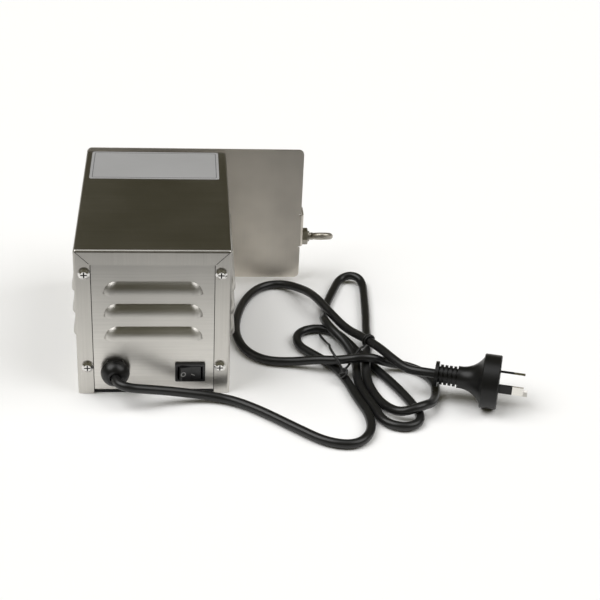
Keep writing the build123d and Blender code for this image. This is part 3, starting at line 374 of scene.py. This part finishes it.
bright_steel = finish_material(
    "bright_steel", (0.72, 0.71, 0.69), brushed,
    {"Grain": (900, 900, 900), "Tone Depth": 0.20, "Roughness": 0.22, "Roughness Depth": 0.12},
    metallic=1.0, bump=0.05)
dull_zinc = finish_material(
    "dull_zinc", (0.40, 0.375, 0.325), brushed,
    {"Grain": (700, 700, 700), "End Grain": (700, 700, 700), "Tone Depth": 0.28,
     "Roughness": 0.40, "Roughness Depth": 0.2}, metallic=1.0, bump=0.12)
inner_steel = finish_material(
    "inner_steel", (0.55, 0.56, 0.57), brushed,
    {"Grain": (700, 700, 700), "Tone Depth": 0.18, "Roughness": 0.38, "Roughness Depth": 0.15},
    metallic=1.0, bump=0.06)
bronze = finish_material(
    "sintered_bronze", (0.60, 0.40, 0.20), brushed,
    {"Grain": (1800, 1800, 1800), "Tone Depth": 0.25, "Roughness": 0.42,
     "Roughness Depth": 0.15}, metallic=1.0, bump=0.10)
copper = finish_material(
    "wound_copper", (0.55, 0.25, 0.12), brushed,
    {"Grain": (2600, 40, 40), "Tone Depth": 0.35, "Roughness": 0.34, "Roughness Depth": 0.1},
    metallic=1.0, bump=0.4)
laminated = finish_material(
    "laminations", (0.30, 0.31, 0.33), brushed,
    {"Grain": (30, 2000, 30), "Tone Depth": 0.5, "Roughness": 0.45, "Roughness Depth": 0.2},
    metallic=1.0, bump=0.35)
print("metals", [m.name for m in bpy.data.materials if m.name.endswith(("steel", "bronze"))])

# %%
cord_rubber = finish_material(
    "cord_rubber", (0.012, 0.012, 0.012), moulded,
    {"Grain Scale": 3200.0, "Roughness": 0.31, "Roughness Depth": 0.16}, bump=0.05,
    Specular_IOR_Level=0.38)
plug_rubber = finish_material(
    "plug_moulding", (0.007, 0.007, 0.007), moulded,
    {"Grain Scale": 2400.0, "Roughness": 0.34, "Roughness Depth": 0.14}, bump=0.05,
    Specular_IOR_Level=0.30)
gland_nylon = finish_material(
    "gland_nylon", (0.009, 0.009, 0.009), moulded,
    {"Grain Scale": 1800.0, "Roughness": 0.30, "Roughness Depth": 0.12}, bump=0.04,
    Specular_IOR_Level=0.32)
switch_black = finish_material(
    "switch_black", (0.014, 0.014, 0.015), moulded,
    {"Grain Scale": 2600.0, "Roughness": 0.30, "Roughness Depth": 0.10}, bump=0.04)
pin_metal = finish_material(
    "pin_plating", (0.74, 0.72, 0.68), brushed,
    {"Grain": (900, 900, 900), "Tone Depth": 0.12, "Roughness": 0.20, "Roughness Depth": 0.10},
    metallic=1.0, bump=0.03)
LEAD_COLOURS = {"brown": (0.16, 0.06, 0.025), "blue": (0.03, 0.11, 0.36),
                "green": (0.10, 0.32, 0.07)}
lead_skins = {name: finish_material("insulation_" + name, colour, moulded, {"Roughness": 0.42},
                                    bump=0.03) for name, colour in LEAD_COLOURS.items()}

dress(case_steel, "cover")
dress(panel_steel, "chassis")
dress(plate_steel, "mounting_plate")
dress(dull_zinc, "clamp_nut", "eye_screw")
dress(bright_steel, "cover_screws_rear", "cover_screws_drive", "gearbox_screws_front",
      "hub_clip", "spacer_washers", "spit_hub")
dress(inner_steel, "clinch_nuts", "gearbox_front_plate", "gearbox_back_plate",
      "gearbox_pillars", "gearbox_screws_back", "motor_bridge", "motor_screws",
      "motor_spacers", "earth_stud", "earth_nut", "arbor_spacers", "gear_arbors", "gear_1",
      "gear_2", "gear_3", "output_gear", "rotor_shaft")
dress(bronze, "output_bushes", "motor_bushes", "earth_lug", "switch_terminals")
dress(copper, "coil", "shading_rings")
dress(laminated, "stator_stack", "coil_core", "rotor_core")
dress(cord_rubber, "cord_tail", "cord_tie")
for soft in (mains_cord, tie_wire, tie_turns):
    soft.data.materials.append(cord_rubber)
dress(plug_rubber, "plug_body")
dress(gland_nylon, "base_pad", "gland_body", "gland_nut", "gland_lock_nut", "pin_sleeves",
      "bobbin")
dress(switch_black, "rocker", "switch_housing")
dress(pin_metal, "plug_pins")
dress(lead_skins["brown"], "lead_active", "lead_switched")
dress(lead_skins["blue"], "lead_neutral")
dress(lead_skins["green"], "lead_earth")
print("materials", len(bpy.data.materials))

# %% [markdown]
# ## Bare label plate and switch marks
# A thin silvery plate with rounded corners lies on the lid's far half; only a fine frame line is
# drawn on it.  The rocker has the usual ring and bar moulded in grey.

# %%


def rounded(width, height, radius, steps=6):
    """Corner points of a rounded rectangle round the origin."""
    points = []
    for k, (sx, sy) in enumerate(((1, 1), (-1, 1), (-1, -1), (1, -1))):
        for i in range(steps + 1):
            a = (k + i / steps) * pi / 2
            points.append((sx * (width / 2 - radius) + radius * cos(a),
                           sy * (height / 2 - radius) + radius * sin(a)))
    return points


def mesh_piece(name, made, material):
    """A new piece from a finished bmesh."""
    mesh = bpy.data.meshes.new(name)
    made.to_mesh(mesh)
    made.free()
    piece = add_object(name, mesh)
    piece.data.materials.append(material)
    return piece


def thin_piece(name, outer, inner, thick, place, material, body, slot, edge=0.0):
    """A flat piece, or a ring where inner is given, standing out along its own Z, in mm.

    An edge draws the top outline in by that much, for a soft rim.
    """
    made = bmesh.new()

    def loop(points, z):
        return [made.verts.new((x, y, z)) for x, y in points]

    def wall(low, high):
        for i in range(len(low)):
            k = (i + 1) % len(low)
            made.faces.new((low[i], low[k], high[k], high[i]))

    base, shoulder = loop(outer, 0), loop(outer, thick - edge)
    wall(base, shoulder)
    crest = shoulder
    if edge:
        cx = sum(x for x, _ in outer) / len(outer)
        span = max(x for x, _ in outer) - cx
        crest = loop([(x * (1 - edge / span), y * (1 - edge / span)) for x, y in outer], thick)
        wall(shoulder, crest)
    if inner is None:
        made.faces.new(crest)
    else:
        hole_top, hole_base = loop(inner, thick), loop(inner, 0)
        wall(crest, hole_top)
        wall(hole_top, hole_base)
    bmesh.ops.scale(made, vec=(0.001, 0.001, 0.001), verts=made.verts)
    piece = mesh_piece(name, made, material)
    piece.matrix_world = place
    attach(piece, body)


label_silver = finish_material(
    "label_silver", (0.49, 0.492, 0.505), brushed,
    {"Grain": (60, 900, 900), "End Grain": (60, 900, 900), "Tone Depth": 0.10,
     "Roughness": 0.46, "Roughness Depth": 0.10}, metallic=0.35, bump=0.03)
line_grey = finish_material(
    "line_grey", (0.13, 0.13, 0.14), moulded, {"Roughness": 0.5}, bump=0.02)
mark_grey = finish_material(
    "mark_grey", (0.34, 0.34, 0.34), moulded, {"Roughness": 0.5}, bump=0.02)

LABEL_AT, LABEL_THICK, LINE_THICK = (-0.85, 53.0, 113.0), 0.20, 0.03
PLATE = rounded(94.3, 47.0, 2.0)
LINE_OUTER, LINE_INNER = rounded(90.6, 43.2, 1.2), rounded(89.6, 42.2, 0.8)
label_place = Matrix.Translation([v / 1000 for v in LABEL_AT])
thin_piece("label_plate", PLATE, None, LABEL_THICK, label_place, label_silver, "frame",
           "steel_plate", edge=0.06)
thin_piece("label_frame_line", LINE_OUTER, LINE_INNER, LINE_THICK,
           label_place @ Matrix.Translation((0, 0, LABEL_THICK / 1000)), line_grey, "frame",
           "black_matte")
print("label outline points", len(PLATE), len(LINE_OUTER), len(LINE_INNER))

# %% [markdown]
# The marks lie on the rocker's two faces, which slope nine degrees each away from its middle.

# %%
TILT, ROCKER_FACE = radians(9), 4.25
PIVOT = Vector((25.0, -77.5, 17.3))
RING_AT, RING_RADII, RING_SIDES = -5.6, (1.85, 1.2), 32
BAR_AT, BAR_DOWN, BAR_LEAN = 1.3, -1.3, radians(-26)
BAR = rounded(2.6, 0.6, 0.15, 2)
MARK_THICK = 0.04


def on_rocker(across):
    """A place on the rocker's face, this far across: X along the face, Z out of it."""
    side = 1 if across > 0 else -1
    local = Vector((across, -ROCKER_FACE - abs(across) * tan(TILT), 0))
    turn = Matrix.Rotation(TILT, 4, "Z")
    face_turn = Matrix.Rotation(TILT - side * TILT, 4, "Z")
    centre = PIVOT + turn @ local
    stand = Matrix.Rotation(radians(90), 4, "X")
    return Matrix.Translation(centre / 1000) @ face_turn @ stand


turns = [2 * pi * k / RING_SIDES for k in range(RING_SIDES)]
ring = [[(r * cos(a), r * sin(a)) for a in turns] for r in RING_RADII]
thin_piece("mark_ring", *ring, MARK_THICK, on_rocker(RING_AT), mark_grey, "rocker",
           "black_gloss")
lean = Matrix.Translation((0, BAR_DOWN / 1000, 0)) @ Matrix.Rotation(BAR_LEAN, 4, "Z")
thin_piece("mark_bar", BAR, None, MARK_THICK, on_rocker(BAR_AT) @ lean, mark_grey, "rocker",
           "black_gloss")
print("marks", RING_AT, BAR_AT, "mm across the rocker")

# %% [markdown]
# ## Painted shade in seams and screw recesses
# A cross recess and the seam beside a folded flange are drawn as dark lines of painted shade.
# Each is a thin matt black filling a little below the steel round it, standing for the shadow
# there.

# %%
# A matt near-black that paints the shade in screw recesses and flange seams.
shade_paint = finish_material(
    "recess_shade_black", (0.010, 0.010, 0.009), moulded, {"Roughness": 0.75}, bump=0.02)
SCREW_X, SCREW_Z, TOP_SCREW_Z = 45.5, (22.4, 95.6), 109.0
SEAT_Y, PANEL_Y, FLANGE_X, FLANGE_Z = 80.5, -79.5, 41.6, 102.1
RECESS = (1.2, 2.3)              # from the screw's seat to the filling's two ends
SEAM_IN, SEAM_FOOT, SEAM_WIDTH, SEAM_THICK = 0.25, 2.2, 0.45, 0.06
MITRE_RUN, MITRE_WIDTH, MITRE_THICK = 8.4, 0.38, 0.9
ARM, HALF = 2.14, 0.42           # length of a cross's arm from its middle, and half its width
CROSS = [(u * a, v * b) for u, v in ((1, -1), (1, 1), (-1, 1), (-1, -1))
         for a, b in ((ARM, HALF), (HALF, HALF), (HALF, ARM))[::u * v]]


def fillings(name, outlines, low, high):
    """Flat prisms across the case between two depths along Y, one for each outline, in mm."""
    made = bmesh.new()
    for outline in outlines:
        back, front = ([made.verts.new((x / 1000, y / 1000, z / 1000)) for x, z in outline]
                       for y in (low, high))
        made.faces.new(front)
        made.faces.new(back[::-1])
        for i in range(len(outline)):
            k = (i + 1) % len(outline)
            made.faces.new((back[i], back[k], front[k], front[i]))
    bmesh.ops.recalc_face_normals(made, faces=made.faces)
    piece = mesh_piece(name, made, shade_paint)
    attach(piece, "frame")


def crosses(centres):
    """The outline of a cross at each centre."""
    return [[(x + u, z + v) for u, v in CROSS] for x, z in centres]


def bar(start, end, width):
    """A rectangle along a line, as an outline."""
    run = Vector(end) - Vector(start)
    side = Vector((-run.y, run.x)).normalized() * (width / 2)
    return [tuple(Vector(p) + s * side) for p, s in
            ((start, -1), (end, -1), (end, 1), (start, 1))]


corners = [(x, z) for x in (-SCREW_X, SCREW_X) for z in SCREW_Z]
drive_screws = corners + [(0, TOP_SCREW_Z)]
# These fillings are painted shade in the cross recesses and along the flange seams and mitres.
fillings("rear_recess_shade", crosses(corners), *(-SEAT_Y - d for d in RECESS))
fillings("drive_recess_shade", crosses(drive_screws), *(SEAT_Y + d for d in RECESS))
seam_x = FLANGE_X - SEAM_IN
seams = [bar((s * seam_x, SEAM_FOOT), (s * seam_x, FLANGE_Z), SEAM_WIDTH) for s in (-1, 1)]
fillings("panel_seam_shade", seams, PANEL_Y, PANEL_Y - SEAM_THICK)
mitres = [bar((s * FLANGE_X, FLANGE_Z), (s * (FLANGE_X + MITRE_RUN), FLANGE_Z + MITRE_RUN),
              MITRE_WIDTH) for s in (-1, 1)]
fillings("mitre_seam_shade", mitres, PANEL_Y, PANEL_Y - MITRE_THICK)
print("recesses", len(corners) + len(drive_screws), "seams", len(seams) + len(mitres))

# %% [markdown]
# ## Thread on the clamp screw
# The screw's thread is one low ridge wound round the shank, a millimetre forward for each turn.
# It is swept as rings of three points, and it rides with the screw.

# %%
THREAD_AXIS, THREAD_X, THREAD_PITCH = (88.5, 36.0), (89.0, 118.6), 1.0
ROOT_R, CREST_R, RIDGE_FOOT, RING_STEPS = 2.93, 2.995, 0.42, 28


def thread(name, material, body):
    """A ridge wound round the screw's axis, which fades out over its first and last turn."""
    made = bmesh.new()
    rings, count = [], int((THREAD_X[1] - THREAD_X[0]) / THREAD_PITCH * RING_STEPS)
    for k in range(count + 1):
        a = 2 * pi * k / RING_STEPS
        x = THREAD_X[0] + THREAD_PITCH * k / RING_STEPS
        fade = min(1.0, k / RING_STEPS, (count - k) / RING_STEPS)
        crest = ROOT_R + (CREST_R - ROOT_R) * fade
        rings.append([made.verts.new(((x + dx) / 1000, (THREAD_AXIS[0] + r * cos(a)) / 1000,
                                      (THREAD_AXIS[1] + r * sin(a)) / 1000))
                      for dx, r in ((-RIDGE_FOOT, ROOT_R), (0.0, crest), (RIDGE_FOOT, ROOT_R))])
    for low, high in zip(rings, rings[1:]):
        for i in range(3):
            made.faces.new((low[i], low[(i + 1) % 3], high[(i + 1) % 3], high[i]))
    made.faces.new(rings[0])
    made.faces.new(rings[-1][::-1])
    bmesh.ops.recalc_face_normals(made, faces=made.faces)
    piece = mesh_piece(name, made, material)
    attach(piece, body)
    print(name, "turns", round(count / RING_STEPS, 1))


thread("clamp_thread", dull_zinc, "clamp_screw")

# %% [markdown]
# ## Floor and light
# Sheet steel shows what stands round it more than its own colour.  A white sheet lies under and
# behind the object, and a grey bench goes on in front of it; the upright panels mirror both,
# and more of the bench the higher they reach.  The room is dim, which the lid of the case
# mirrors, apart from a glow right overhead that puts highlights on the cord.  Two wide lamps
# stand to the left and right of the case.

# %%
SHEET = ((-12, -0.305), (12, 12))              # left front and right back corner, metres
BENCH = ((-12, -12), (12, 12))
SHEET_Z, BENCH_Z = -0.0002, -0.002
SHEET_WHITE, BENCH_GREY = (0.97, 0.97, 0.975), (0.34, 0.34, 0.35)
MATT_ROUGHNESS, MATT_SPECULAR = 0.9, 0.1


def flat_piece(name, low, high, z, colour):
    """A level rectangle with a plain matt material, as part of the stage."""
    made = bmesh.new()
    made.faces.new([made.verts.new((x, y, 0)) for x, y in (
        low, (high[0], low[1]), high, (low[0], high[1]))])
    material = bpy.data.materials.new(name + "_matt")
    material.use_nodes = True
    surface = material.node_tree.nodes["Principled BSDF"]
    surface.inputs["Base Color"].default_value = (*colour, 1)
    surface.inputs["Roughness"].default_value = MATT_ROUGHNESS
    surface.inputs["Specular IOR Level"].default_value = MATT_SPECULAR
    piece = mesh_piece(name, made, material)
    piece.location.z = z


flat_piece("white_sheet", *SHEET, SHEET_Z, SHEET_WHITE)
flat_piece("bench", *BENCH, BENCH_Z, BENCH_GREY)
print("stage pieces at", SHEET_Z, BENCH_Z)

# %%
LAMPS = {                        # direction it stands in, width in degrees, strength
    "left_lamp": ((-0.62, -0.10, 0.90), 46, 1.97),
    "right_lamp": ((0.70, -0.16, 0.85), 46, 1.37)}
GLOW_FROM = 0.90                 # sine of the height where the overhead glow starts
ROOM_DIM, ROOM_GLOW = (0.085, 0.077, 0.042, 1), (1.3, 1.3, 1.3, 1)


def wide_lamp(name, toward, spread, strength):
    """A soft light from one side of the sky, evenly bright over the whole floor."""
    lamp = bpy.data.lights.new(name, "SUN")
    lamp.energy, lamp.angle = strength, radians(spread)
    holder = add_object(name, lamp)
    holder.rotation_euler = Vector(toward).to_track_quat("Z", "Y").to_euler()


for name, setting in LAMPS.items():
    wide_lamp(name, *setting)
world = bpy.data.worlds.new("room")
bpy.context.scene.world = world
world.use_nodes = True
room = world.node_tree
aim = node(room, "ShaderNodeTexCoord")
sky = node(room, "ShaderNodeSeparateXYZ", {0: aim.outputs["Generated"]})
overhead = remap(room, sky.outputs["Z"], (GLOW_FROM, 1.0), (0.0, 1.0),
                 interpolation_type="SMOOTHSTEP")
glow = node(room, "ShaderNodeMix", {
    MIX_FACTOR: overhead, COLOUR_A: ROOM_DIM, COLOUR_B: ROOM_GLOW}, data_type="RGBA")
room.links.new(glow.outputs[COLOUR_OUT], room.nodes["Background"].inputs["Color"])
bpy.context.scene.view_settings.view_transform = "Standard"
